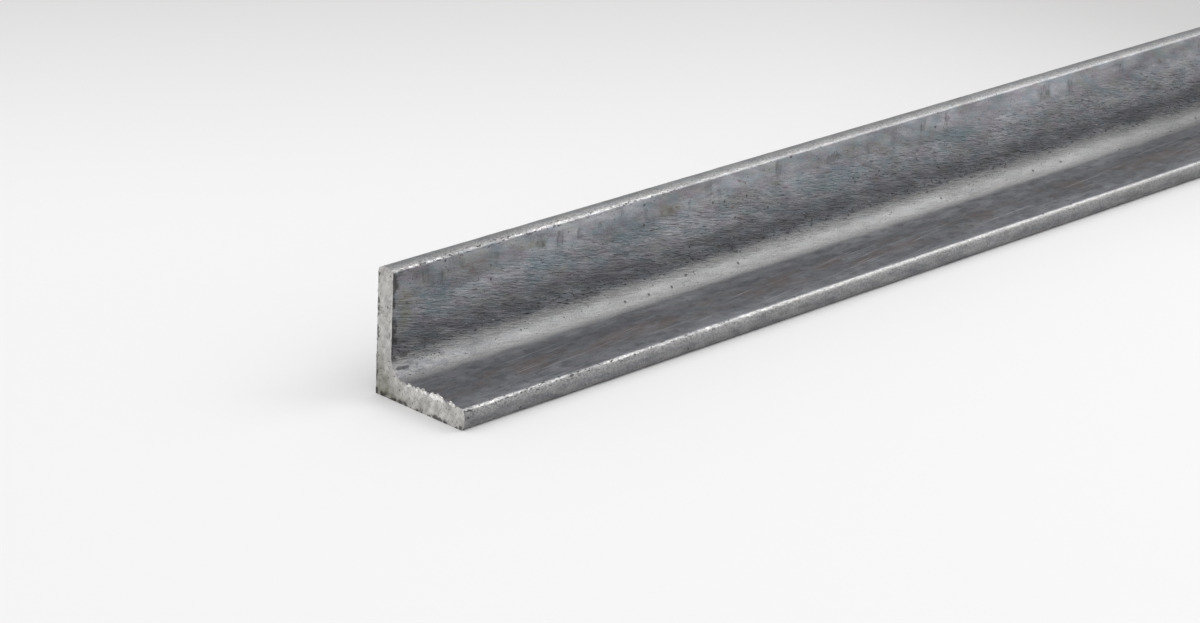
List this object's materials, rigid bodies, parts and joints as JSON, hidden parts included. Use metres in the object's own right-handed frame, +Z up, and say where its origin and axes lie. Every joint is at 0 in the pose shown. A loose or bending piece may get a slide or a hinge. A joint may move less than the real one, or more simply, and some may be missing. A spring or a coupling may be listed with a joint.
{
  "type": "equal steel angle",
  "caption": "Hot-rolled equal-leg steel angle in a sawn length, with a filleted root and crowned toes, for frames, brackets and edging.",
  "frame": {"origin": "on the floor under the middle of the bar's box", "axes": "+X along the bar, away from the end sawn a little off square; +Y towards the heel and the back of the upright leg; +Z up along the upright leg"},
  "size_m": [0.5, 0.03, 0.03],
  "materials": {
    "rolled_steel": "as rolled: dark blue-grey mill scale with brown rust streaks, bright along the worn toe edges and on the sawn end"
  },
  "bodies": {
    "root": {"angle_bar": "rolled_steel"}
  },
  "joints": []
}
